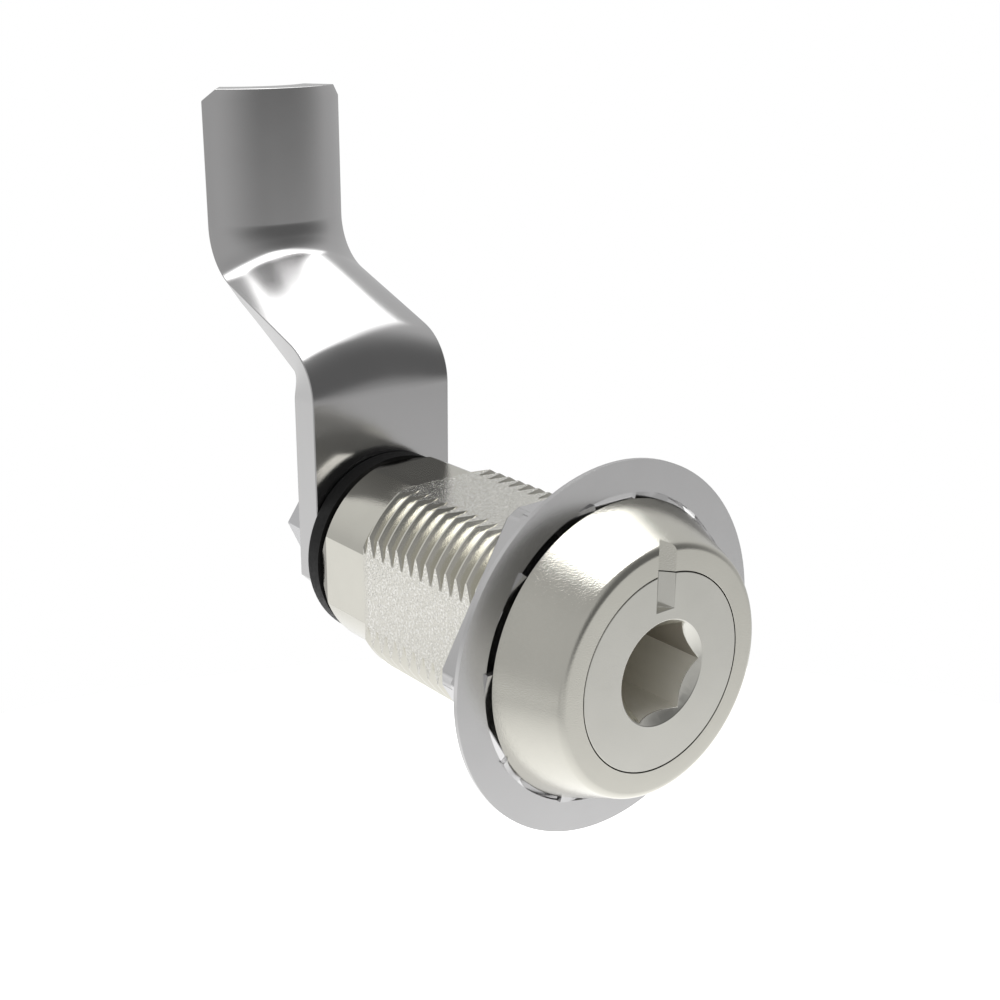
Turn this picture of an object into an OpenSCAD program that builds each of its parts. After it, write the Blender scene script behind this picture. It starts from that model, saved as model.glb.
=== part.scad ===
// Quarter-turn fastener: a threaded four-flat housing with a flush drive core,
// and a joggled cam that a quarter turn of the core swings behind a frame.
// The latch axis is Y, the head faces -Y, and the origin is the centre of the head's rear seat.

/* [Head] */
// Width of the head's rear seat outside the thread
seat_w = 2.9; // [2.6:0.1:5]
// Height of the head in front of its rear seat
head_h = 6; // [5.6:0.1:8]
// Slant of the head's side from the latch axis, in degrees
head_slant = 22; // [10:1:26]
// Radius of the fillet round the head's front face
face_fillet = 0.8; // [0.4:0.1:1.4]
// Depth of the gasket groove in the head's rear seat
gasket_groove = 0.6; // [0.3:0.1:1]

/* [Threaded body] */
// Outside diameter of the thread
thread_d = 22; // [21.6:0.1:22.2]
// Distance across the body's flats
body_flats = 18.8; // [18.4:0.1:19.4]
// Length of the threaded body behind the seat
thread_len = 25.3; // [18:0.1:34]
// Diameter of the plain boss behind the thread
boss_d = 20.1; // [19.6:0.1:20.8]
// Length of the plain boss
boss_len = 7.6; // [7:0.1:9.5]
// Chamfer of the boss's rear edge, on the radius
boss_chamfer = 0.7; // [0.3:0.05:0.8]
// Width of the shoulder between the disc's recess and the bore for the shank
shoulder_w = 2.05; // [1.9:0.05:2.3]

/* [Drive core] */
// Diameter of the core's disc, flush in the head
disc_d = 18.08; // [17.6:0.02:18.2]
// Thickness of the disc
disc_t = 4.2; // [4:0.1:4.4]
// Distance across the flats of the key socket
key_flats = 8; // [7:0.1:8.4]
// Depth of the key socket
key_depth = 12; // [9:0.5:14]
// Diameter of the socket's countersink at the face
key_rim_d = 9.7; // [9.5:0.1:10.5]
// Distance from the axis to the start of the indicator groove
indicator_start = 5.8; // [5.3:0.1:7]
// Depth of the indicator groove
indicator_depth = 1.05; // [0.5:0.05:1.1]
// Distance across the flats of the square end
square_flats = 8; // [7.5:0.1:8.2]
// Diameter that the square's corners are turned to
square_corner_d = 11; // [10.4:0.1:11.2]

/* [Seals] */
// Section of the disc's sealing ring
disc_seal = 1.4; // [1.2:0.05:1.45]
// Section of the shank's sealing ring
shank_seal = 1.6; // [1.3:0.05:1.8]
// Distance from the seat to the shank's seal
shank_seal_y = 11.2; // [10:0.1:20]
// Width of the flat head gasket
gasket_w = 1.25; // [0.8:0.05:1.3]

/* [Mounting hardware] */
// Width of the tooth washer's ring outside its teeth
washer_w = 2.95; // [2:0.05:5]
// Gap between the head's rim and the roots of the washer's teeth
washer_gap = 0.45; // [0.2:0.05:1]
// Thickness of the tooth washer
washer_t = 0.45; // [0.3:0.05:0.5]
// Number of teeth
tooth_count = 10; // [8:1:12]
// Width of a tooth
tooth_w = 3.5; // [2.6:0.1:3.6]
// Twist of a tooth out of the washer's plane, in degrees
tooth_twist = 11; // [5:1:12]
// Distance across the flats of the mounting nut
nut_flats = 27; // [26:0.5:30]
// Diameter that the nut's corners are turned to at its rear
nut_corner_d = 30.4; // [29.8:0.1:31]
// Length of the nut's turned corners
nut_corner_len = 1.6; // [0.5:0.1:2.5]
// Thickness of the mounting nut
nut_t = 4; // [3:0.1:8]

/* [Rear bearing] */
// Diameter of the bush's flange
flange_d = 19.6; // [19:0.1:20]
// Thickness of the bush's flange
flange_t = 2.1; // [1.5:0.1:3]
// Rounding of the flange's rear edge
flange_round = 0.4; // [0.2:0.1:1]
// Diameter of the bush's spigot
spigot_d = 16.4; // [15.8:0.1:16.6]
// Length of the bush's spigot
spigot_len = 2.65; // [2.2:0.05:3]
// Thickness of the stop washer
stop_t = 1.6; // [1.2:0.1:2]
// Half of the angle that the stop lug covers
lug_half = 14; // [10:1:18]
// Turn of the latch from closed to open, in degrees
turn = 90; // [60:5:100]

/* [Cam] */
// Width of the cam
cam_w = 16.7; // [16:0.1:20]
// Thickness of the cam
cam_t = 3.5; // [2.5:0.1:4]
// Height of the cam's tip above the axis
cam_reach = 45.3; // [42:0.1:60]
// Height at which the cam bends back
bend_z = 15.95; // [14:0.05:20]
// Radius of the cam's two bends on the face towards the head
bend_r = 6; // [5:0.1:8]
// Set-back of the cam's tip behind its foot
joggle = 19.4; // [14:0.1:24]
// Angle that each bend turns through, in degrees
bend_turn = 70; // [55:1:78]
// Half of the angle that the crowned tip's face covers
crown_half = 42; // [20:1:45]
// Chamfer of the tip's corners
tip_chamfer = 1.2; // [0.5:0.1:2.5]
// Chamfer of the foot's corners
foot_chamfer = 5.6; // [3:0.1:6]

/* [Cam screw] */
// Diameter of the screw
screw_d = 6; // [5:0.5:6]
// Length of the screw's shank
screw_len = 12.5; // [10:0.5:16]
// Distance across the flats of the screw's head
screw_flats = 10; // [8:0.5:11]
// Height of the screw's head
screw_head_h = 4; // [3:0.1:5]
// Outside diameter of the flat washer
flat_washer_d = 14; // [12.5:0.5:16]
// Thickness of the flat washer
flat_washer_t = 1.3; // [1:0.1:2]
// Outside diameter of the split washer
split_washer_d = 11.2; // [10:0.1:12]
// Thickness of the split washer
split_washer_t = 1.3; // [1:0.1:1.6]

/* [Hidden] */
$fn = 96;
// Running clearance of a shaft in its bore, on the radius
run = 0.06;
// Clearance between pieces that are clamped or laid together
seat_gap = 0.02;
// Turn at which the screw's head was left when it was tightened, in degrees
screw_turn = 5;
// Length that a cut runs past the faces it opens
past = 1;
// Clearance of the gasket round the thread and in its groove
gasket_play = 0.15;
// Clearance of the screw in the flat washer and in the split washer, on the diameter
flat_washer_play = 0.4;
split_washer_play = 0.2;
// Width of the split washer's slot
split_gap = 0.8;
// Wall behind the groove of the disc's seal, and the grooves' width over the ring's section
seal_wall = 0.7;
groove_share = 1.3;

// Room between the disc and the housing's shoulder for the disc spring
spring_room = 0.8;
spring_t = 0.3;
// Play of the stop washer along the axis, on each side
stop_play = 0.07;
// Play of the stop lug at each end of its pocket, in degrees
stop_slack = 0.6;
// Amount by which the square end stops short of the cam's back, so that the washer clamps the cam
square_short = 0.2;

// Rim of the head, and the tooth washer's ring round it
head_d = thread_d + 2 * seat_w;
washer_root_d = head_d + 2 * washer_gap;
washer_d = washer_root_d + 2 * washer_w;
// Length of the boss's chamfer over its depth
chamfer_slope = 1.5;
// Recess for the disc and bore for the shank
recess_d = disc_d + 2 * run;
bore_d = recess_d - 2 * shoulder_w;
// Depth of the socket's countersink where it meets the hexagon's corners
key_corner_r = corner(key_flats, 6);
countersink_depth = key_rim_d / 2 - key_corner_r;

// Places along the axis, from the face to the screw's head
face_y = -head_h;
disc_back_y = face_y + disc_t;
shoulder_y = disc_back_y + spring_room;
boss_y = thread_len;
body_end_y = boss_y + boss_len;
spigot_y = body_end_y - spigot_len;
stop_y = spigot_y - stop_t - 2 * stop_play;
flange_end_y = body_end_y + flange_t;
cam_y = flange_end_y + run;
cam_back_y = cam_y + cam_t;
flat_washer_y = cam_back_y + seat_gap;
split_washer_y = flat_washer_y + flat_washer_t + seat_gap;
screw_head_y = split_washer_y + split_washer_t + seat_gap;

// Tooth washer, gasket and nut behind the seat
washer_y = tooth_w / 2 * sin(tooth_twist) + seat_gap;
nut_y = 2 * washer_y + washer_t;
gasket_d = thread_d + 2 * gasket_play;

// Distance of a polygon's corners from its centre
function corner(flats, sides) = flats / 2 / cos(180 / sides);
// Points of an arc about a centre, from one angle to another
function arc(centre, r, from, to, steps) =
    [for (i = [0 : steps]) let (a = from + (to - from) * i / steps)
        [centre[0] + r * cos(a), centre[1] + r * sin(a)]];

// Turns a solid built along Z onto the latch axis, at a place along it
module at(y) {
    translate([0, y, 0]) rotate([-90, 0, 0]) children();
}

// Solid of revolution about the latch axis from a profile of [radius, y] points
module turned(profile) {
    rotate([-90, 0, 0]) rotate_extrude() polygon(profile);
}

// Round bar or bore along the latch axis between two places
module bar(d, from, to) {
    at(from) cylinder(d = d, h = to - from);
}

// Ring along the latch axis between two places
module ring(outer, inner, from, to) {
    difference() {
        bar(outer, from, to);
        bar(inner, from - past, to + past);
    }
}

// Bar with equal flats, its corners on the X axis where it has six
module flats_bar(flats, sides, from, to) {
    at(from) rotate([0, 0, sides == 4 ? 45 : 0])
        cylinder(r = corner(flats, sides), h = to - from, $fn = sides);
}

// Square end with turned corners
module square_bar(flats, corner_d, from, to) {
    intersection() {
        flats_bar(flats, 4, from, to);
        bar(corner_d, from, to);
    }
}

// V groove that marks the cam's direction, cut across the core and the head
module indicator_cut() {
    spread = indicator_depth + past;
    translate([0, 0, indicator_start]) linear_extrude(height = head_d / 2)
        polygon([[-spread, face_y - past], [spread, face_y - past], [0, face_y + indicator_depth]]);
}

// Wedge of a disc about the latch axis, its middle at an angle from +Z towards +X
module sector(r, middle, half, from, to) {
    reach = r / cos(half / 2);
    rotate([0, middle, 0]) at(from) intersection() {
        cylinder(r = r, h = to - from);
        linear_extrude(height = to - from)
            polygon(concat([[0, 0]],
                [for (a = [-half, -half / 2, 0, half / 2, half]) reach / cos(half / 4) * [sin(a), -cos(a)]]));
    }
}

// Outer form of the head, from its rear seat to the filleted face
module head_form() {
    fillet_y = face_y + face_fillet;
    fillet_r = head_d / 2 - face_fillet / cos(head_slant) + fillet_y * tan(head_slant);
    turned(concat([[0, 0], [0, face_y]],
        arc([fillet_r, fillet_y], face_fillet, -90, -head_slant, 8),
        [[head_d / 2, 0]]));
}

module housing() {
    color([0.74, 0.73, 0.70]) difference() {
        union() {
            head_form();
            intersection() {
                union() {
                    bar(thread_d, -seat_gap, boss_y);
                    turned([[0, boss_y - seat_gap], [boss_d / 2, boss_y - seat_gap],
                        [boss_d / 2, body_end_y - chamfer_slope * boss_chamfer],
                        [boss_d / 2 - boss_chamfer, body_end_y], [0, body_end_y]]);
                }
                flats_bar(body_flats, 4, -seat_gap, body_end_y);
            }
        }
        bar(recess_d, face_y - past, shoulder_y);
        bar(bore_d, shoulder_y - past, body_end_y + past);
        bar(spigot_d + 2 * seat_gap, spigot_y, body_end_y + past);
        sector(spigot_d / 2 + run, 0, turn / 2 + lug_half + stop_slack, stop_y, spigot_y + past);
        ring(gasket_d + 2 * gasket_w + 2 * run, gasket_d - 2 * run, -gasket_groove, past);
        indicator_cut();
    }
}

module head_gasket() {
    color([0.10, 0.10, 0.10])
        ring(gasket_d + 2 * gasket_w, gasket_d, -gasket_groove + seat_gap, nut_y - seat_gap);
}

// Flat ring with twisted teeth that bite the head and the nut
module tooth_washer() {
    tooth_tip = gasket_d / 2 + gasket_w + 2 * run;
    tooth_len = washer_root_d / 2 - tooth_tip + washer_t;
    color([0.66, 0.66, 0.67]) union() {
        ring(washer_d, washer_root_d, washer_y, washer_y + washer_t);
        intersection() {
            bar(washer_root_d + 2 * run, washer_y - past, washer_y + washer_t + past);
            for (i = [0 : tooth_count - 1])
                rotate([0, 360 * i / tooth_count, 0])
                    translate([tooth_tip + tooth_len / 2, washer_y + washer_t / 2, 0])
                        rotate([-tooth_twist, 0, 0]) cube([tooth_len, washer_t, tooth_w], center = true);
        }
    }
}

module mounting_nut() {
    color([0.64, 0.64, 0.65]) difference() {
        union() {
            flats_bar(nut_flats, 6, nut_y, nut_y + nut_t - nut_corner_len);
            intersection() {
                flats_bar(nut_flats, 6, nut_y + seat_gap, nut_y + nut_t);
                bar(nut_corner_d, nut_y + seat_gap, nut_y + nut_t);
            }
        }
        bar(thread_d + 2 * run, nut_y - past, nut_y + nut_t + past);
    }
}

// Slightly dished spring ring that takes up the core's end play
module disc_spring() {
    inner = bore_d / 2 + run;
    outer = disc_d / 2 - run;
    color([0.45, 0.45, 0.47]) turned([
        [inner, shoulder_y - seat_gap - spring_t], [inner, shoulder_y - seat_gap],
        [outer, disc_back_y + seat_gap + spring_t], [outer, disc_back_y + seat_gap]]);
}

// Flanged plastic bush that carries the square end and closes the housing
module rear_bush() {
    r = flange_d / 2;
    color([0.10, 0.10, 0.10]) difference() {
        union() {
            bar(spigot_d, spigot_y, body_end_y + 2 * seat_gap);
            turned(concat([[0, body_end_y + seat_gap], [r, body_end_y + seat_gap]],
                arc([r - flange_round, flange_end_y - flange_round], flange_round, 0, 90, 6),
                [[0, flange_end_y]]));
        }
        bar(square_corner_d + 2 * run, spigot_y - past, flange_end_y + past);
    }
}

// Middle of the disc's seal, behind the indicator groove
disc_seal_y = disc_back_y - seal_wall - disc_seal * groove_share / 2;

// Groove round the core for a sealing ring, a little wider than the ring's section
module seal_groove(outer, section, y) {
    width = section * groove_share;
    ring(outer + past, outer - 2 * section - 4 * seat_gap, y - width / 2, y + width / 2);
}

module drive_core() {
    color([0.73, 0.72, 0.69]) difference() {
        union() {
            bar(disc_d, face_y, disc_back_y);
            bar(bore_d - 2 * run, disc_back_y - past, stop_y);
            square_bar(square_flats, square_corner_d, stop_y - past, cam_back_y - square_short);
        }
        flats_bar(key_flats, 6, face_y - past, face_y + key_depth);
        turned([[0, face_y - past], [key_rim_d / 2, face_y - past], [key_rim_d / 2, face_y],
            [key_corner_r - past, face_y + countersink_depth + past],
            [0, face_y + countersink_depth + past]]);
        seal_groove(disc_d, disc_seal, disc_seal_y);
        seal_groove(bore_d - 2 * run, shank_seal, shank_seal_y);
        bar(screw_d, screw_head_y - screw_len - 2 * past, cam_back_y + past);
        indicator_cut();
    }
}

// Sealing ring seated in its groove
module o_ring(outer, section, y) {
    at(y) rotate_extrude() translate([outer / 2 - section / 2 - seat_gap, 0])
        circle(d = section - seat_gap, $fn = 32);
}

module disc_o_ring() {
    color([0.08, 0.08, 0.08]) o_ring(disc_d, disc_seal, disc_seal_y);
}

module shank_o_ring() {
    color([0.08, 0.08, 0.08]) o_ring(bore_d - 2 * run, shank_seal, shank_seal_y);
}

// Washer on the square end whose lug meets the ends of the housing's pocket
module stop_washer() {
    from = stop_y + stop_play;
    to = from + stop_t;
    color([0.60, 0.60, 0.62]) difference() {
        union() {
            bar(bore_d - 4 * run, from, to);
            sector(spigot_d / 2 - run, -turn / 2, lug_half, from, to);
        }
        flats_bar(square_flats + 2 * seat_gap, 4, from - past, to + past);
    }
}

// Joggle of the cam, followed along the edge of the face towards the head
slope_rise = (joggle - 2 * bend_r * (1 - cos(bend_turn))) / tan(bend_turn);
tip_z = bend_z + 2 * bend_r * sin(bend_turn) + slope_rise;
// Height from which the cam is swept rather than flat
sweep_room = 2;
foot_top = bend_z - sweep_room;

// Set-back at which the crown starts to rise
crown_from = joggle / 4;
// Stations along the joggle: [set-back, height, tilt from upright]
bend_steps = 9;
slope_steps = 5;
function crown_share(k) = k * k * (3 - 2 * k);
function crown_at(set_back) = crown_share(min(1, max(0, (set_back - crown_from) / (joggle - crown_from))));
function first_bend(a) = [bend_r * (1 - cos(a)), bend_z + bend_r * sin(a), a];
function second_bend(a) = [joggle - bend_r * (1 - cos(a)), tip_z - bend_r * sin(a), a];
function slope_at(k) = let (low = first_bend(bend_turn), high = second_bend(bend_turn))
    low + (high - low) * k;
path = concat(
    [[0, foot_top, 0]],
    [for (i = [0 : bend_steps]) first_bend(bend_turn * i / bend_steps)],
    [for (i = [1 : slope_steps - 1]) slope_at(i / slope_steps)],
    [for (i = [0 : bend_steps]) second_bend(bend_turn * (1 - i / bend_steps))],
    [[joggle, cam_reach - tip_chamfer, 0], [joggle, cam_reach, 0]]);

// Points across the cam at a station: the face, then the back the other way
cross_steps = 10;
function across(k, crown, half, depth) =
    crown < 0.01 ? [half * k, -depth] :
    let (r = cam_w / 2 / sin(crown), a = asin(half / r) * k)
        [(r - depth) * sin(a), (r - depth) * cos(a) - r * cos(crown)];
function station(p, half) =
    let (crown = crown_half * crown_at(p[0]))
        [for (q = concat([for (i = [0 : cross_steps]) across(2 * i / cross_steps - 1, crown, half, 0)],
                         [for (i = [0 : cross_steps]) across(1 - 2 * i / cross_steps, crown, half, cam_t)]))
            [q[0], p[0] - q[1] * cos(p[2]), p[1] + q[1] * sin(p[2])]];

// Arm of the cam: the stations skinned into one closed form
module cam_arm() {
    last = len(path) - 1;
    ring_size = 2 * (cross_steps + 1);
    points = [for (i = [0 : last]) each station(path[i], cam_w / 2 - (i == last ? tip_chamfer : 0))];
    sides = [for (i = [0 : last - 1], j = [0 : ring_size - 1])
        let (a = i * ring_size + j, b = i * ring_size + (j + 1) % ring_size)
            each [[a, a + ring_size, b + ring_size], [a, b + ring_size, b]]];
    // End faces, as strips between the face and the back
    ends = [for (j = [0 : cross_steps - 1])
        let (a = j, b = j + 1, c = ring_size - 2 - j, d = ring_size - 1 - j, n = last * ring_size)
            each [[a, b, c], [a, c, d], [n + a, n + c, n + b], [n + a, n + d, n + c]]];
    translate([0, cam_y, 0]) polyhedron(points, concat(sides, ends), convexity = 6);
}

module cam() {
    half = cam_w / 2;
    color([0.62, 0.62, 0.62]) union() {
        difference() {
            translate([0, cam_back_y, 0]) rotate([90, 0, 0]) linear_extrude(height = cam_t)
                polygon([[-half, foot_top], [-half, -half + foot_chamfer], [-half + foot_chamfer, -half],
                    [half - foot_chamfer, -half], [half, -half + foot_chamfer], [half, foot_top]]);
            flats_bar(square_flats + 4 * seat_gap, 4, cam_y - past, cam_back_y + past);
        }
        cam_arm();
    }
}

module flat_washer() {
    color([0.70, 0.70, 0.71])
        ring(flat_washer_d, screw_d + flat_washer_play, flat_washer_y, flat_washer_y + flat_washer_t);
}

// Lock washer, split on one side
module split_washer() {
    to = split_washer_y + split_washer_t;
    color([0.62, 0.62, 0.64]) difference() {
        ring(split_washer_d, screw_d + split_washer_play, split_washer_y, to);
        translate([0, split_washer_y - past, 0]) rotate([0, 20, 0])
            cube([split_washer_d, split_washer_t + 2 * past, split_gap]);
    }
}

module cam_screw() {
    color([0.76, 0.76, 0.77]) union() {
        rotate([0, screw_turn, 0])
            flats_bar(screw_flats, 6, screw_head_y, screw_head_y + screw_head_h);
        bar(screw_d - 2 * seat_gap, screw_head_y - screw_len, screw_head_y + seat_gap);
    }
}

housing();
head_gasket();
tooth_washer();
mounting_nut();
disc_spring();
rear_bush();
drive_core();
disc_o_ring();
shank_o_ring();
stop_washer();
cam();
flat_washer();
split_washer();
cam_screw();
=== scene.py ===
"""Looks of a quarter-turn fastener: satin nickel housing and core, polished cam, black bush and seals.
Lengths are in metres in the part's own frame: the latch axis is Y, the head faces -Y, +Z is up."""

import math

import bmesh
import bpy
from mathutils import Matrix, Vector


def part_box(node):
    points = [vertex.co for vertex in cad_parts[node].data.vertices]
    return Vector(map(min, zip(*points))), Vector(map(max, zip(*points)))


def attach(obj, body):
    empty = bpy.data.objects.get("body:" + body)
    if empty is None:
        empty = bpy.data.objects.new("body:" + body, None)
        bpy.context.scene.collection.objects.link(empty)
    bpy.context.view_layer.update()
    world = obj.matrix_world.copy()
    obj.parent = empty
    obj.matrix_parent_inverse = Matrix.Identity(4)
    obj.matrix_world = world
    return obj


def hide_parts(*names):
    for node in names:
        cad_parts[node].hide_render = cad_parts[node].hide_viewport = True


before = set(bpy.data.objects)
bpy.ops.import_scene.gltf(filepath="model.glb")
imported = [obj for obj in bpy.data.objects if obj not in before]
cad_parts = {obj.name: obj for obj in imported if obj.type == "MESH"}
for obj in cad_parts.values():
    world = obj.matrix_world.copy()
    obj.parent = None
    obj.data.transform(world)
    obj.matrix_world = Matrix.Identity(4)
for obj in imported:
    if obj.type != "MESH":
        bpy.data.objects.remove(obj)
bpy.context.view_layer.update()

MM = 0.001

# Places that come from the frame
HOUSING_LOW, HOUSING_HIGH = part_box("housing")
CAM_LOW, CAM_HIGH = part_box("cam")
GASKET_LOW, GASKET_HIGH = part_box("head_gasket")
BUSH_FRONT_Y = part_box("rear_bush")[0].y
STOP_FRONT_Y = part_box("stop_washer")[0].y
FACE_Y = HOUSING_LOW.y
BODY_END_Y = HOUSING_HIGH.y

# Steps of round forms: a full turn, the face's fillet, the pocket, one bend of the cam, across the cam
TURN_STEPS = 240
FILLET_STEPS = 14
POCKET_STEPS = 12
BEND_STEPS = 28
CROSS_STEPS = 40

# Length by which cutting forms reach past what they cut
PAST = 1.0 * MM

# Head: radius at its rear seat, slant of its side, fillet round its face
HEAD_R = 13.9 * MM
HEAD_SLANT = math.radians(22)
FACE_FILLET = 0.8 * MM
# Recess of the core's disc, with a fine chamfer at the face, and the bore behind its shoulder
RECESS_R = 9.14 * MM
RECESS_EDGE = 0.02 * MM
SHOULDER_Y = -1.0 * MM
BORE_R = 7.05 * MM
# Indicator groove, from this height to the head's rim, with sides at 45 degrees
INDICATOR_START = 5.8 * MM
INDICATOR_DEPTH = 1.05 * MM
# Play round the gasket and the stop washer
SEAT_PLAY = 0.06 * MM

# Threaded body with four flats
BODY_HALF_FLATS = 9.4 * MM
THREAD_END_Y = 25.3 * MM
THREAD_R = 11.0 * MM
THREAD_ROOT_R = 10.11 * MM
THREAD_PITCH = 1.5 * MM
CREST_W = THREAD_PITCH / 8
FLANK_W = (THREAD_R - THREAD_ROOT_R) * math.tan(math.radians(30))
# Turns of the thread beyond the kept length, about half of them at each end
SPARE_TURNS = 4
# Place of a crest where the thread meets the upper edge of the flat on the -X side
CREST_Y = 24.28 * MM
CREST_TURN = math.atan2(-BODY_HALF_FLATS, math.sqrt(THREAD_R**2 - BODY_HALF_FLATS**2))

# Boss behind the thread, with the bush's seat and the stop lug's pocket in it
BOSS_R = 10.05 * MM
BOSS_CHAMFER = 0.7 * MM
BOSS_CHAMFER_LENGTH = 1.5 * BOSS_CHAMFER
SPIGOT_R = 8.22 * MM
POCKET_R = 8.26 * MM
POCKET_HALF = math.radians(59.6)

# Cam: plate, two equal bends, crown across its width, corners of its tip and foot, square hole
CAM_HALF = CAM_HIGH.x
CAM_T = 3.5 * MM
JOGGLE = 19.4 * MM
BEND_Z = 15.95 * MM
BEND_R = 6.0 * MM
BEND_TURN = math.radians(70)
CROWN_HALF = math.radians(42)
# Height over which the crown grows, from the start of the first bend, and the angle that is still flat
CROWN_RISE = 12.4 * MM
CROWN_NONE = 0.001
# Flat stretch below the first bend that has its own station
BEND_LEAD = 2 * MM
TIP_CHAMFER = 1.2 * MM
FOOT_CHAMFER = 5.6 * MM
SQUARE_HALF = 4.04 * MM

# Broken edges, and the angle in degrees above which an edge counts as sharp
CAM_EDGE = 0.1 * MM
CAM_SHARP = 40
MACHINED_SHARP = 30
CAST_SHARP = 25
# Points closer than this are one point, and faces within this angle are one face
WELD_GAP = 0.002 * MM
FLAT_ANGLE = math.radians(1)

# Machined pieces that get broken edges: node, body, slot and the edge's width
MACHINED = (
    ("drive_core", "spindle", "core_steel", 0.05 * MM),
    ("tooth_washer", "housing", "hardware_steel", 0.06 * MM),
    ("mounting_nut", "housing", "hardware_steel", 0.08 * MM),
    ("cam_screw", "spindle", "screw_steel", 0.08 * MM),
)

# Key socket: radius of its 45 degree countersink at the face, and the place of its bottom
SOCKET_RIM_R = 4.85 * MM
SOCKET_END_Y = FACE_Y + 12 * MM

# Colours of the metals and the black pieces
NICKEL = (0.745, 0.73, 0.66)
CORE_NICKEL = (0.75, 0.74, 0.685)
HARDWARE = (0.685, 0.68, 0.68)
POLISHED = (0.61, 0.605, 0.605)
ZINC = (0.68, 0.68, 0.69)
SPRING = (0.42, 0.42, 0.44)
ACETAL = (0.007, 0.007, 0.007)
RUBBER = (0.008, 0.008, 0.008)

# Colours of places on the nickel: bright spots of the cast skin, painted shade on the turned chamfer,
# and the socket's walls painted pale below and dark above as painted light and shade
CAST_SPARK = (0.98, 0.97, 0.93, 1)
CHAMFER_PAINTED_SHADE = (0.36, 0.35, 0.32, 1)
SOCKET_PAINTED_LIT_WALLS = ((0.93, 0.90, 0.79, 1), (0.99, 0.96, 0.86, 1))
SOCKET_PAINTED_SHADE_WALLS = (0.36, 0.33, 0.27, 1)

# Satin metal: clouds per metre of the tone, and how far gloss varies
CLOUD_SCALE = 260
GLOSS_SPREAD = 0.08

# Raised flecks of the cast skin: size, noise levels between which they rise, height against the grain's
FLECK_SIZE = 0.14 * MM
FLECK_LEVELS = (0.56, 0.66)
FLECK_HEIGHT = 4.0
# Its bright spots: size, noise levels between which they start, and their share beside and on a spot
SPARK_SIZE = 0.24 * MM
SPARK_LEVELS = (0.53, 0.61)
SPARK_SHARES = (0.2, 0.85)
# Where the cast skin begins and ends along the body and on the head's side, each with its soft border,
# radius beyond which the head counts as its side, play of the flats, and the share of skin on that side
BODY_CAST_START = (0, 0.5 * MM)
BODY_CAST_END = (THREAD_END_Y - 0.8 * MM, THREAD_END_Y + 0.2 * MM)
HEAD_CAST_START = (FACE_Y + FACE_FILLET, FACE_Y + FACE_FILLET + 0.3 * MM)
HEAD_CAST_END = (-0.02 * MM, 0)
HEAD_SIDE_R = RECESS_R + 1.0 * MM
FLAT_GAP = 0.02 * MM
HEAD_CAST_SHARE = 0.05

# Where the turned chamfer and its painted shade begin, with its soft border
CHAMFER_BORDER = (BODY_END_Y - BOSS_CHAMFER_LENGTH, BODY_END_Y - BOSS_CHAMFER_LENGTH + 0.1 * MM)

# Broached socket: distance of its walls from the countersink, scratches per metre and their stretch,
# soft borders above its bottom and at half height that bound the painted shade of its upper walls, and
# how much rougher it is
RIM_GAP = 0.03 * MM
SCRATCH_SCALE = 900
SCRATCH_STRETCH = (1, 0.15, 1)
SOCKET_BOTTOM = (SOCKET_END_Y - 0.1 * MM, SOCKET_END_Y - 0.05 * MM)
SOCKET_SHADE_BORDER = (-0.03 * MM, 0.03 * MM)
SOCKET_ROUGHER = 0.3

# Black pieces: skin and haze per metre, how much lighter the haze is, noise levels of the skin
# between which gloss varies, and the shine
SKIN_SCALE = 2500
HAZE_SCALE = 300
HAZE_LIFT = 1.6
SKIN_LEVELS = (0.3, 0.7)
BLACK_SHINE = 0.2

# Level of the room for reflections, by the sine of the elevation
ROOM_LEVELS = ((-1.0, 1.15), (-0.64, 0.80), (-0.41, 0.63), (-0.14, 0.48), (0.64, 0.48), (0.9, 0.41))
# Regions of the room in degrees: azimuth, elevation, radius of the even core, outer radius.
# The dark corner and the glow at the back also fade over a range of the elevation's sine.
DARK_CORNER = (26, 18, 6, 64)
DARK_CORNER_RISE = (-0.28, -0.02)
DARK_CORNER_SHARE = 0.30
DIM_REGIONS = (((-14, 0, 4, 30), 0.86), ((-55, -26, 6, 22), 0.85))
BACK_GLOW = (-165, -26, 10, 52)
BACK_GLOW_RISE = (-0.12, 0.12)
BACK_GLOW_LEVEL = 0.31
BRIGHT_REGIONS = (((150, 30, 20, 75), 0.08), ((-148, 30, 6, 28), 0.12), ((172, -46, 8, 24), 0.14))

# Overhead light: corners and height of its rectangle, its radiance, and the sides of its bright area,
# each as the direction into the area, the side's place along it and its softness
LAMP_LOW = (-0.42, -0.24)
LAMP_HIGH = (0.68, 0.50)
LAMP_HEIGHT = 0.56
LAMP_RADIANCE = 2.4
LAMP_SIDES = (
    ((0.60, 0.80, 0), -0.09, 0.03),
    ((0, 1, 0), -0.145, 0.03),
    ((-0.749, 0.663, 0), -0.23, 0.11),
    ((0.252, -0.968, 0), -0.30, 0.03),
)

# Floor: radius, depth below the latch axis, steps round, tones of its clouds, roughness
FLOOR_R = 0.28
FLOOR_DEPTH = 0.13
FLOOR_STEPS = 96
FLOOR_TONES = ((0.50, 0.50, 0.50, 1), (0.54, 0.54, 0.54, 1))
FLOOR_CLOUD_SCALE = 20
FLOOR_ROUGH = 0.9
# Its own light: brightest place, reach, strength there and at the reach's end, more where it is seen
GLOW_PLACE = (0.07, 0.05, -FLOOR_DEPTH)
GLOW_REACH = 0.35
GLOW_NEAR = 0.93
GLOW_FAR = 0.11
GLOW_SEEN = 0.6

# Camera that sees the part as the picture does
CAMERA_PLACE = (-0.08521, -0.08799, 0.05587)
CAMERA_AZIMUTH = -39.306
CAMERA_ELEVATION = 18.948
CAMERA_ROLL = math.radians(0.371)
CAMERA_LENS = 54.42
CAMERA_SENSOR = 36.0
CAMERA_CLIP = (0.005, 20)


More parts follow.
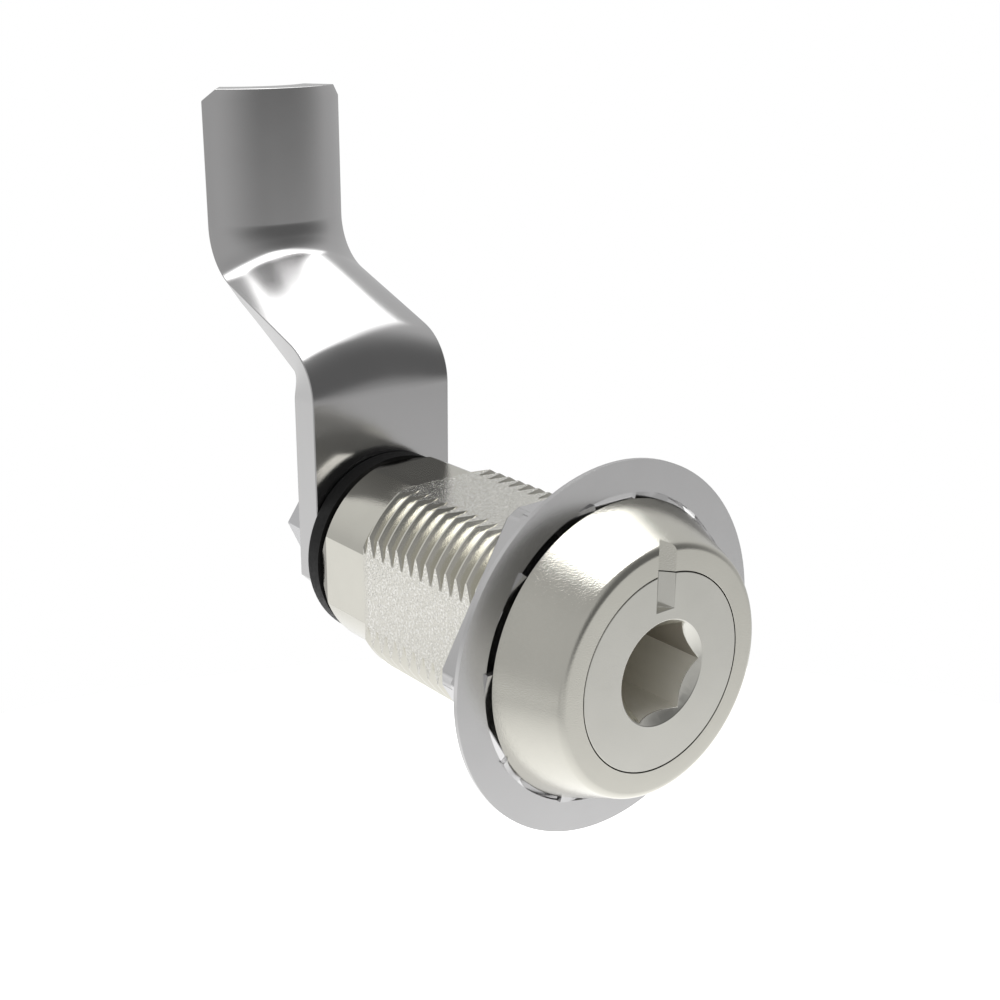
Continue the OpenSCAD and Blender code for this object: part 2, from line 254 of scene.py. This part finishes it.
def mesh_object(name, points, faces):
    """Object from points and faces, its normals pointing out."""
    mesh = bpy.data.meshes.new(name)
    form = bmesh.new()
    corners = [form.verts.new(p) for p in points]
    for face in faces:
        form.faces.new([corners[i] for i in face])
    bmesh.ops.recalc_face_normals(form, faces=form.faces)
    form.to_mesh(mesh)
    form.free()
    piece = bpy.data.objects.new(name, mesh)
    bpy.context.scene.collection.objects.link(piece)
    return piece


def turned(name, profile):
    """Solid turned about the latch axis; its profile of (radius, y) starts and ends on the axis."""
    points, rows = [], []
    for radius, y in profile:
        first = len(points)
        count = TURN_STEPS if radius > 0 else 1
        points += [(radius * math.sin(a), y, radius * math.cos(a))
                   for a in (math.tau * i / TURN_STEPS for i in range(count))]
        rows.append([first + i % count for i in range(TURN_STEPS + 1)])
    faces = []
    for low, high in zip(rows, rows[1:]):
        for i in range(TURN_STEPS):
            face = [low[i], low[i + 1], high[i + 1], high[i]]
            faces.append(list(dict.fromkeys(face)))
    return mesh_object(name, points, faces)


def bar(name, radius, low, high):
    """Round bar on the latch axis."""
    return turned(name, [(0, low), (radius, low), (radius, high), (0, high)])


def prism(name, outline, low, high):
    """Straight bar along the latch axis from an outline of (x, z) points."""
    count = len(outline)
    points = [(x, y, z) for y in (low, high) for x, z in outline]
    faces = [list(range(count)), list(range(count, 2 * count))]
    faces += [[i, (i + 1) % count, count + (i + 1) % count, count + i] for i in range(count)]
    return mesh_object(name, points, faces)


def square(half):
    """Outline of a square, from half its width."""
    return [(-half, -half), (half, -half), (half, half), (-half, half)]


def arc(centre, radius, start, end, steps):
    """Points of a circle's arc between two angles."""
    turns = [start + (end - start) * i / steps for i in range(steps + 1)]
    return [(centre[0] + radius * math.cos(a), centre[1] + radius * math.sin(a)) for a in turns]


def combine(piece, other, operation):
    """Adds to, cuts or keeps the overlap of a piece with another, which is used up."""
    step = piece.modifiers.new("form", "BOOLEAN")
    step.operation = operation
    step.solver = "MANIFOLD"
    step.object = other
    bpy.context.view_layer.update()
    seen = piece.evaluated_get(bpy.context.evaluated_depsgraph_get())
    mesh = bpy.data.meshes.new_from_object(seen)
    piece.modifiers.clear()
    piece.data = mesh
    bpy.data.objects.remove(other)
    return piece


def smooth(piece, degrees):
    """Smooth curved faces, with edges sharper than an angle kept crisp and flat faces kept flat."""
    piece.data.shade_smooth()
    piece.data.set_sharp_from_angle(angle=math.radians(degrees))
    weighted = piece.modifiers.new("flat_faces", "WEIGHTED_NORMAL")
    weighted.keep_sharp = True
    weighted.weight = 100


def break_edges(piece, width, degrees):
    """Narrow bevel on a piece's sharp edges, with smooth faces between them."""
    edge = piece.modifiers.new("edges", "BEVEL")
    edge.width = width
    edge.segments = 2
    edge.limit_method = "ANGLE"
    edge.angle_limit = math.radians(degrees)
    edge.use_clamp_overlap = True
    smooth(piece, degrees)


def machined_piece(node, width):
    """Stand-in for a CAD node: the same form with its sharp edges broken."""
    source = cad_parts[node]
    mesh = bpy.data.meshes.new_from_object(source)
    form = bmesh.new()
    form.from_mesh(mesh)
    form.transform(source.matrix_world)
    bmesh.ops.remove_doubles(form, verts=form.verts, dist=WELD_GAP)
    bmesh.ops.dissolve_limit(form, angle_limit=FLAT_ANGLE, verts=form.verts, edges=form.edges)
    form.to_mesh(mesh)
    form.free()
    piece = bpy.data.objects.new(node + "_form", mesh)
    bpy.context.scene.collection.objects.link(piece)
    break_edges(piece, width, MACHINED_SHARP)
    return piece


def head_form():
    """Head with a slanted side and a fillet round its face."""
    fillet_y = FACE_Y + FACE_FILLET
    fillet_r = HEAD_R - FACE_FILLET / math.cos(HEAD_SLANT) + fillet_y * math.tan(HEAD_SLANT)
    fillet = arc((fillet_r, fillet_y), FACE_FILLET, -math.pi / 2, -HEAD_SLANT, FILLET_STEPS)
    return turned("head", [(0, FACE_Y)] + fillet + [(HEAD_R, 0), (0, 0)])


def thread_form(name, low, high):
    """Screw thread as one ridge wound round the axis, longer at both ends than the part that is kept."""
    crests = [(0, THREAD_R), (CREST_W, THREAD_R), (CREST_W + FLANK_W, THREAD_ROOT_R),
              (THREAD_PITCH - FLANK_W, THREAD_ROOT_R)]
    count = len(crests)
    rise = THREAD_PITCH / TURN_STEPS
    last = TURN_STEPS * (math.ceil((high - low) / THREAD_PITCH) + SPARE_TURNS)
    start = CREST_Y - CREST_W / 2 - THREAD_PITCH * CREST_TURN / math.tau
    start -= THREAD_PITCH * math.ceil((start - low) / THREAD_PITCH + SPARE_TURNS / 2)
    points = []
    for j in range(last + 1):
        a = math.tau * j / TURN_STEPS
        points += [(r * math.sin(a), start + rise * j + y, r * math.cos(a)) for y, r in crests]

    def corner(j, k):
        """Point k of the ridge's section at step j; one past the last is the next turn's first."""
        return (j + TURN_STEPS) * count if k == count else j * count + k

    faces = [[corner(j, k), corner(j, k + 1), corner(j + 1, k + 1), corner(j + 1, k)]
             for j in range(last) for k in range(count)
             if k < count - 1 or j + 1 + TURN_STEPS <= last]
    near = [corner(j, 0) for j in range(TURN_STEPS + 1)]
    near += [corner(0, k) for k in range(count - 1, 0, -1)]
    far = [corner(j, count - 1) for j in range(last - TURN_STEPS, last + 1)]
    far += [corner(last, k) for k in range(count - 2, -1, -1)]
    for loop in (near, far):
        hub = len(points)
        y = sum(points[i][1] for i in loop) / len(loop)
        points.append((0, y, 0))
        faces += [[hub, loop[i], loop[(i + 1) % len(loop)]] for i in range(len(loop))]
    return mesh_object(name, points, faces)


def boss_form():
    """Plain boss with the body's flats and a chamfered end."""
    start = THREAD_END_Y - PAST / 2
    boss = turned("boss", [
        (0, start), (BOSS_R, start), (BOSS_R, BODY_END_Y - BOSS_CHAMFER_LENGTH),
        (BOSS_R - BOSS_CHAMFER, BODY_END_Y), (0, BODY_END_Y)])
    flats = prism("boss_flats", square(BODY_HALF_FLATS), THREAD_END_Y - PAST, BODY_END_Y + PAST)
    return combine(boss, flats, "INTERSECT")


def bore_form():
    """Recess of the core's disc, bore of its shank and seat of the bush, as one turned form."""
    return turned("bore", [
        (0, FACE_Y - PAST), (RECESS_R + RECESS_EDGE + PAST, FACE_Y - PAST),
        (RECESS_R, FACE_Y + RECESS_EDGE), (RECESS_R, SHOULDER_Y), (BORE_R, SHOULDER_Y),
        (BORE_R, BUSH_FRONT_Y), (SPIGOT_R, BUSH_FRONT_Y), (SPIGOT_R, BODY_END_Y + PAST),
        (0, BODY_END_Y + PAST)])


def pocket_form():
    """Sector in which the stop washer's lug turns."""
    fan = [-POCKET_HALF + 2 * POCKET_HALF * i / POCKET_STEPS for i in range(POCKET_STEPS + 1)]
    outline = [(0, 0)] + [(POCKET_R * math.sin(a), POCKET_R * math.cos(a)) for a in fan]
    return prism("pocket", outline, STOP_FRONT_Y - SEAT_PLAY, BUSH_FRONT_Y + PAST)


def gasket_groove_form():
    """Ring in the head's rear seat that takes the gasket."""
    groove = bar("seat_groove", GASKET_HIGH.x + SEAT_PLAY, GASKET_LOW.y - SEAT_PLAY / 3, PAST)
    inner_wall = bar("inner_wall", THREAD_R + SEAT_PLAY, GASKET_LOW.y - PAST, 2 * PAST)
    return combine(groove, inner_wall, "DIFFERENCE")


def indicator_form():
    """Wedge that cuts the indicator groove."""
    half_mouth = INDICATOR_DEPTH + PAST
    bottom_y = FACE_Y + INDICATOR_DEPTH
    section = [(-half_mouth, FACE_Y - PAST), (half_mouth, FACE_Y - PAST), (0, bottom_y)]
    points = [(x, y, z) for z in (INDICATOR_START, HEAD_R + PAST) for x, y in section]
    faces = [[0, 1, 2], [3, 4, 5], [0, 1, 4, 3], [1, 2, 5, 4], [2, 0, 3, 5]]
    return mesh_object("indicator", points, faces)


def housing_shell():
    """Housing with its screw thread, in place of the CAD node's plain cylinder."""
    shell = thread_form("housing_shell", 0, THREAD_END_Y)
    flats = prism("thread_flats", square(BODY_HALF_FLATS), -PAST / 2, THREAD_END_Y)
    combine(shell, flats, "INTERSECT")
    for form in (boss_form, head_form):
        combine(shell, form(), "UNION")
    for form in (bore_form, pocket_form, gasket_groove_form, indicator_form):
        combine(shell, form(), "DIFFERENCE")
    smooth(shell, CAST_SHARP)
    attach(shell, "housing")
    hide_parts("housing")
    return shell


def cam_path():
    """Stations along the cam's front edge: (set-back, height, tilt, half width)."""
    bend_set_back = BEND_R * (1 - math.cos(BEND_TURN))
    slope_rise = (JOGGLE - 2 * bend_set_back) / math.tan(BEND_TURN)
    tip_z = BEND_Z + 2 * BEND_R * math.sin(BEND_TURN) + slope_rise
    turns = [BEND_TURN * i / BEND_STEPS for i in range(BEND_STEPS + 1)]
    low = [(BEND_R * (1 - math.cos(a)), BEND_Z + BEND_R * math.sin(a), a) for a in turns]
    # The second bend is the first one turned round the middle of the slope
    high = [(JOGGLE - set_back, tip_z + BEND_Z - height, a) for set_back, height, a in reversed(low)]
    slope = [tuple(p + (q - p) * i / BEND_STEPS for p, q in zip(low[-1], high[0]))
             for i in range(1, BEND_STEPS)]
    foot = [(0, CAM_LOW.z, 0, CAM_HALF - FOOT_CHAMFER), (0, CAM_LOW.z + FOOT_CHAMFER, 0, CAM_HALF),
            (0, BEND_Z - BEND_LEAD, 0, CAM_HALF)]
    tip = [(JOGGLE, CAM_HIGH.z - TIP_CHAMFER, 0, CAM_HALF),
           (JOGGLE, CAM_HIGH.z, 0, CAM_HALF - TIP_CHAMFER)]
    return foot + [p + (CAM_HALF,) for p in low + slope + high] + tip


def cam_section(crown, half):
    """Closed section of the cam as (across, out) points: its front from side to side, then its back."""
    steps = range(CROSS_STEPS + 1)
    ring = [(2 * i / CROSS_STEPS - 1, 0) for i in steps]
    ring += [(1 - 2 * i / CROSS_STEPS, CAM_T) for i in steps]
    if crown <= CROWN_NONE:
        return [(half * k, -depth) for k, depth in ring]
    radius = CAM_HALF / math.sin(crown)
    spread = math.asin(half / radius)
    return [((radius - depth) * math.sin(spread * k),
             (radius - depth) * math.cos(spread * k) - radius * math.cos(crown)) for k, depth in ring]


def cam_plate():
    """Joggled cam whose face becomes crowned towards the tip."""
    path = cam_path()
    points = []
    for set_back, height, tilt, half in path:
        share = min(1, max(0, (height - BEND_Z) / CROWN_RISE))
        crown = CROWN_HALF * share * share * (3 - 2 * share)
        points += [(across, CAM_LOW.y + set_back - out * math.cos(tilt), height + out * math.sin(tilt))
                   for across, out in cam_section(crown, half)]
    size = 2 * (CROSS_STEPS + 1)
    starts = [size * r for r in range(len(path))]
    faces = [[low + i, low + (i + 1) % size, high + (i + 1) % size, high + i]
             for low, high in zip(starts, starts[1:]) for i in range(size)]
    faces += [[end + i, end + i + 1, end + size - 2 - i, end + size - 1 - i]
              for end in (starts[0], starts[-1]) for i in range(CROSS_STEPS)]
    plate = mesh_object("cam_plate", points, faces)
    hole = prism("hole", square(SQUARE_HALF), CAM_LOW.y - PAST, CAM_LOW.y + CAM_T + PAST)
    combine(plate, hole, "DIFFERENCE")
    break_edges(plate, CAM_EDGE, CAM_SHARP)
    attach(plate, "spindle")
    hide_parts("cam")
    return plate


class Shader:
    """Small helper that adds and links the nodes of one material, of the world or of a light."""

    def __init__(self, tree):
        self.tree = tree
        self.nodes = tree.nodes

    def add(self, kind, **settings):
        node = self.nodes.new(kind)
        for name, value in settings.items():
            setattr(node, name, value)
        return node

    def feed(self, socket, value):
        """Links a socket to another one's output, or sets its value."""
        if isinstance(value, bpy.types.NodeSocket):
            self.tree.links.new(value, socket)
        else:
            socket.default_value = value

    def fed(self, kind, values, **settings):
        """New node with its first inputs fed in order."""
        node = self.add(kind, **settings)
        for socket, value in zip(node.inputs, values):
            self.feed(socket, value)
        return node

    def math(self, operation, *values):
        return self.fed("ShaderNodeMath", values, operation=operation).outputs[0]

    def product(self, first, second):
        return self.math("MULTIPLY", first, second)

    def total(self, first, second):
        return self.math("ADD", first, second)

    def vector(self, operation, *values):
        return self.fed("ShaderNodeVectorMath", values, operation=operation)

    def along(self, place, way):
        """How far a place lies along a direction."""
        return self.vector("DOT_PRODUCT", place, way).outputs["Value"]

    def parts(self, place):
        """The three parts of a vector."""
        return self.fed("ShaderNodeSeparateXYZ", (place,)).outputs

    def off_axis(self, x, z):
        """Distance from the latch axis."""
        return self.math("SQRT", self.total(self.math("POWER", x, 2.0), self.math("POWER", z, 2.0)))

    def spread(self, value, low, high, out_low, out_high, soft="LINEAR"):
        """Maps low to high onto another range, held at its ends."""
        values = (value, low, high, out_low, out_high)
        return self.fed("ShaderNodeMapRange", values, interpolation_type=soft).outputs[0]

    def between(self, value, start, end):
        """1 from start to end, each of them a pair of values over which it rises or falls."""
        return self.product(self.spread(value, *start, 0, 1), self.spread(value, *end, 1, 0))

    def noise(self, place, scale, detail, stretch=(1, 1, 1)):
        """Cloudy noise of so many cells per metre."""
        node = self.add("ShaderNodeTexNoise")
        self.feed(node.inputs["Vector"], self.vector("MULTIPLY", place, stretch).outputs[0])
        node.inputs["Scale"].default_value = scale
        node.inputs["Detail"].default_value = detail
        return node.outputs["Fac"]

    def blend(self, share, first, second):
        """Colour between two others."""
        node = self.add("ShaderNodeMix", data_type="RGBA")
        self.feed(node.inputs["Factor"], share)
        self.feed(node.inputs["A"], first)
        self.feed(node.inputs["B"], second)
        return node.outputs["Result"]


class Material(Shader):
    """New material with its surface shader and the place in the part's own frame."""

    def __init__(self, name):
        self.material = bpy.data.materials.new(name)
        self.material.use_nodes = True
        super().__init__(self.material.node_tree)
        self.surface = self.nodes["Principled BSDF"]
        self.place = self.add("ShaderNodeTexCoord").outputs["Object"]

    def set(self, name, value):
        self.feed(self.surface.inputs[name], value)

    def bump(self, height, distance):
        """Relief by a height map of a given depth."""
        node = self.add("ShaderNodeBump")
        node.inputs["Strength"].default_value = 1.0
        node.inputs["Distance"].default_value = distance
        self.feed(node.inputs["Height"], height)
        self.set("Normal", node.outputs[0])

    def dress(self, piece):
        """Puts the material on a whole piece."""
        piece.data.materials.clear()
        piece.data.materials.append(self.material)


def satin_metal(name, colour, rough, grain, grain_size=0.10, tone=0.05, cast=None, patch=None):
    """Metal with a fine satin grain, faint cloudy tone and uneven gloss. Grain depth and size are in
    millimetres. Cast, if given, returns how much of the rough, sparkling cast skin each place has,
    from 0 to 1. Patch, if given, returns colour, metal share and roughness changed at some places."""
    metal = Material(name)
    cloud = metal.noise(metal.place, CLOUD_SCALE, detail=3.0)
    fine = metal.noise(metal.place, 1 / (grain_size * MM), detail=2.0)
    dark = tuple(c * (1 - tone) for c in colour) + (1,)
    light = tuple(min(1, c * (1 + tone)) for c in colour) + (1,)
    base = metal.blend(cloud, dark, light)
    metallic = 1.0
    height = fine
    uneven = metal.total(metal.product(cloud, GLOSS_SPREAD), metal.product(fine, GLOSS_SPREAD))
    gloss = metal.total(uneven, rough - GLOSS_SPREAD)
    if cast:
        share = cast(metal)
        flecks = metal.spread(metal.noise(metal.place, 1 / FLECK_SIZE, detail=1.0), *FLECK_LEVELS, 0, 1)
        spots = metal.noise(metal.place, 1 / SPARK_SIZE, detail=1.0)
        sparks = metal.spread(spots, *SPARK_LEVELS, *SPARK_SHARES)
        height = metal.total(fine, metal.product(metal.product(share, flecks), FLECK_HEIGHT))
        base = metal.blend(metal.product(share, sparks), base, CAST_SPARK)
    if patch:
        base, metallic, gloss = patch(metal, base, gloss)
    metal.set("Base Color", base)
    metal.set("Metallic", metallic)
    metal.set("Roughness", gloss)
    metal.bump(height, grain * MM)
    return metal


def body_cast(metal):
    """The threaded body's flats keep the casting's coarse skin, and the head's side a little of it."""
    x, y, z = metal.parts(metal.place)
    across = metal.math("MAXIMUM", metal.math("ABSOLUTE", x), metal.math("ABSOLUTE", z))
    on_flat = metal.math("COMPARE", across, BODY_HALF_FLATS, FLAT_GAP)
    body = metal.product(metal.between(y, BODY_CAST_START, BODY_CAST_END), on_flat)
    outside = metal.math("GREATER_THAN", metal.off_axis(x, z), HEAD_SIDE_R)
    side = metal.product(outside, metal.between(y, HEAD_CAST_START, HEAD_CAST_END))
    return metal.total(body, metal.product(side, HEAD_CAST_SHARE))


def chamfer_painted_shade(metal, base, gloss):
    """Painted shade on the turned chamfer at the boss's end, where it meets the black bush: its colour
    is darker than the plated sides.
    """
    y = metal.parts(metal.place)["Y"]
    # Painted shade: the chamfer's colour is darkened where it meets the black bush
    share = metal.spread(y, *CHAMFER_BORDER, 0, 1)
    return metal.blend(share, base, CHAMFER_PAINTED_SHADE), 1.0, gloss


def broached_socket_painted_shade(metal, base, gloss):
    """The key socket is broached and unpolished: a dull brownish steel. Its walls carry painted light
    and shade: painted pale below the latch axis and painted dark above it, while its bottom keeps the
    pale colour.
    """
    x, y, z = metal.parts(metal.place)
    off_axis = metal.off_axis(x, z)
    near = metal.math("LESS_THAN", off_axis, SOCKET_RIM_R)
    past_rim = metal.math("GREATER_THAN", metal.total(off_axis, y), SOCKET_RIM_R + FACE_Y + RIM_GAP)
    inside = metal.product(near, past_rim)
    scratches = metal.noise(metal.place, SCRATCH_SCALE, detail=3.0, stretch=SCRATCH_STRETCH)
    # Painted light and shade in the socket: pale lower walls and dark upper walls, split by height
    painted_lit_walls = metal.blend(scratches, *SOCKET_PAINTED_LIT_WALLS)
    on_wall = metal.spread(y, *SOCKET_BOTTOM, 1, 0)
    painted_shade_share = metal.product(on_wall, metal.spread(z, *SOCKET_SHADE_BORDER, 0, 1))
    base = metal.blend(inside, base, metal.blend(painted_shade_share, painted_lit_walls, SOCKET_PAINTED_SHADE_WALLS))
    gloss = metal.total(gloss, metal.product(inside, SOCKET_ROUGHER))
    return base, metal.spread(inside, 0, 1, 1, 0), gloss


def black_material(name, colour, rough, grain):
    """Moulded black plastic or rubber with a faint skin. Grain depth is in millimetres."""
    black = Material(name)
    skin = black.noise(black.place, SKIN_SCALE, detail=4.0)
    cloud = black.noise(black.place, HAZE_SCALE, detail=2.0)
    tint = tuple(c * HAZE_LIFT for c in colour) + (1,)
    black.set("Base Color", black.blend(cloud, colour + (1,), tint))
    black.set("Roughness", black.spread(skin, *SKIN_LEVELS, rough - GLOSS_SPREAD, rough + GLOSS_SPREAD))
    black.set("Specular IOR Level", BLACK_SHINE)
    black.bump(skin, grain * MM)
    return black


def direction(azimuth, elevation):
    """Unit vector: azimuth 0 is the front, 90 is +X; both in degrees."""
    a, e = math.radians(azimuth), math.radians(elevation)
    return Vector((math.sin(a) * math.cos(e), -math.cos(a) * math.cos(e), math.sin(e)))


def studio_world():
    """Pale studio: white behind the part, and for reflections a soft room with a darker corner."""
    world = bpy.data.worlds.new("studio")
    bpy.context.scene.world = world
    world.use_nodes = True
    shader = Shader(world.node_tree)
    shader.nodes.clear()
    way = shader.add("ShaderNodeTexCoord").outputs["Generated"]
    rise = shader.parts(way)["Z"]

    def region(azimuth, elevation, core, outer):
        """1 in the even core round a direction, 0 beyond the outer radius."""
        along = shader.along(way, direction(azimuth, elevation))
        low, high = (math.cos(math.radians(radius)) for radius in (outer, core))
        return shader.spread(along, low, high, 0, 1, "SMOOTHSTEP")

    ramp = shader.add("ShaderNodeValToRGB")
    shader.feed(ramp.inputs[0], shader.spread(rise, -1, 1, 0, 1))
    stops = ramp.color_ramp.elements
    while len(stops) < len(ROOM_LEVELS):
        stops.new(0.5)
    for stop, (z, tone) in zip(stops, ROOM_LEVELS):
        stop.position = (z + 1) / 2
        stop.color = (tone, tone, tone, 1)
    level = shader.fed("ShaderNodeRGBToBW", (ramp.outputs["Color"],)).outputs[0]
    dark_corner = shader.product(region(*DARK_CORNER), shader.spread(rise, *DARK_CORNER_RISE, 0, 1))
    dim = [(dark_corner, DARK_CORNER_SHARE)]
    dim += [(region(*place), share) for place, share in DIM_REGIONS]
    for place, share in dim:
        level = shader.product(level, shader.spread(place, 0, 1, 1, share))
    back_glow = shader.product(region(*BACK_GLOW), shader.spread(rise, *BACK_GLOW_RISE, 1, 0))
    bright = [(back_glow, BACK_GLOW_LEVEL)]
    bright += [(region(*place), more) for place, more in BRIGHT_REGIONS]
    for place, more in bright:
        level = shader.total(level, shader.product(place, more))

    white = (1, 1, 1, 1)
    lit = shader.fed("ShaderNodeBackground", (white, level))
    shown = shader.fed("ShaderNodeBackground", (white, 1.0))
    seen = shader.add("ShaderNodeLightPath").outputs["Is Camera Ray"]
    choice = shader.fed("ShaderNodeMixShader", (seen, lit.outputs[0], shown.outputs[0]))
    shader.fed("ShaderNodeOutputWorld", (choice.outputs[0],))


def overhead_light():
    """Level softbox over the part; its bright area has slanted sides with soft edges."""
    data = bpy.data.lights.new("overhead", "AREA")
    data.shape = "RECTANGLE"
    data.size, data.size_y = (high - low for low, high in zip(LAMP_LOW, LAMP_HIGH))
    data.energy = LAMP_RADIANCE * math.pi * data.size * data.size_y
    data.use_nodes = True
    shader = Shader(data.node_tree)
    place = shader.add("ShaderNodeNewGeometry").outputs["Position"]
    share = 1.0
    for way, edge, soft in LAMP_SIDES:
        inside = shader.spread(shader.along(place, way), edge - soft, edge + soft, 0, 1, "SMOOTHSTEP")
        share = shader.product(share, inside)
    shader.feed(shader.nodes["Emission"].inputs["Strength"], share)
    lamp = bpy.data.objects.new("overhead", data)
    bpy.context.scene.collection.objects.link(lamp)
    lamp.location = [(low + high) / 2 for low, high in zip(LAMP_LOW, LAMP_HIGH)] + [LAMP_HEIGHT]


def floor():
    """Pale floor below the part, brightest behind it."""
    turns = [math.tau * i / FLOOR_STEPS for i in range(FLOOR_STEPS)]
    ring = [(FLOOR_R * math.cos(a), FLOOR_R * math.sin(a), -FLOOR_DEPTH) for a in turns]
    disc = mesh_object("floor", ring, [list(range(FLOOR_STEPS))])
    pale = Material("floor_pale")
    cloud = pale.noise(pale.place, FLOOR_CLOUD_SCALE, detail=2.0)
    pale.set("Base Color", pale.blend(cloud, *FLOOR_TONES))
    pale.set("Roughness", FLOOR_ROUGH)
    away = pale.vector("DISTANCE", pale.place, GLOW_PLACE).outputs["Value"]
    glow = pale.spread(away, 0, GLOW_REACH, GLOW_NEAR, GLOW_FAR)
    seen = pale.add("ShaderNodeLightPath").outputs["Is Camera Ray"]
    pale.set("Emission Color", (1, 1, 1, 1))
    pale.set("Emission Strength", pale.total(glow, pale.product(seen, GLOW_SEEN)))
    pale.dress(disc)


def camera():
    """Camera at the picture's viewing angle."""
    data = bpy.data.cameras.new("camera")
    data.lens = CAMERA_LENS
    data.sensor_width = CAMERA_SENSOR
    data.clip_start, data.clip_end = CAMERA_CLIP
    eye = bpy.data.objects.new("camera", data)
    bpy.context.scene.collection.objects.link(eye)
    bpy.context.scene.camera = eye
    back = direction(CAMERA_AZIMUTH, CAMERA_ELEVATION)
    right = Vector((-back.y, back.x, 0)).normalized()
    level = Matrix((right, back.cross(right), back)).transposed()
    roll = Matrix.Rotation(CAMERA_ROLL, 3, "Z")
    eye.matrix_world = Matrix.Translation(CAMERA_PLACE) @ (level @ roll).to_4x4()


def machined_pieces():
    """Machined pieces whose broken edges catch the light as the real ones do."""
    for node, body, slot, width in MACHINED:
        piece = machined_piece(node, width)
        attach(piece, body)
        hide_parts(node)
        yield node, piece


def dress_all(shell, plate):
    """Gives every visible piece its material."""
    pieces = dict(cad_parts, housing=shell, cam=plate)
    pieces.update(machined_pieces())
    hardware = satin_metal("hardware_steel", HARDWARE, rough=0.22, grain=0.003)
    spring = satin_metal("spring_steel", SPRING, rough=0.3, grain=0.003)
    rubber = black_material("black_rubber", RUBBER, rough=0.65, grain=0.006)
    finishes = {
        "housing": satin_metal("satin_nickel", NICKEL, rough=0.12, grain=0.012, grain_size=0.12,
                               cast=body_cast, patch=chamfer_painted_shade),
        "drive_core": satin_metal("core_nickel", CORE_NICKEL, rough=0.15, grain=0.004,
                                  patch=broached_socket_painted_shade),
        "cam": satin_metal("cam_steel", POLISHED, rough=0.165, grain=0.0012, grain_size=0.06, tone=0.02),
        "cam_screw": satin_metal("screw_zinc", ZINC, rough=0.25, grain=0.003),
        "rear_bush": black_material("black_acetal", ACETAL, rough=0.45, grain=0.004),
        "tooth_washer": hardware, "mounting_nut": hardware,
        "stop_washer": hardware, "flat_washer": hardware,
        "split_washer": spring, "disc_spring": spring,
        "head_gasket": rubber, "disc_o_ring": rubber, "shank_o_ring": rubber,
    }
    for node, finish in finishes.items():
        finish.dress(pieces[node])


camera()
dress_all(housing_shell(), cam_plate())
studio_world()
overhead_light()
floor()
bpy.context.scene.view_settings.view_transform = "Standard"
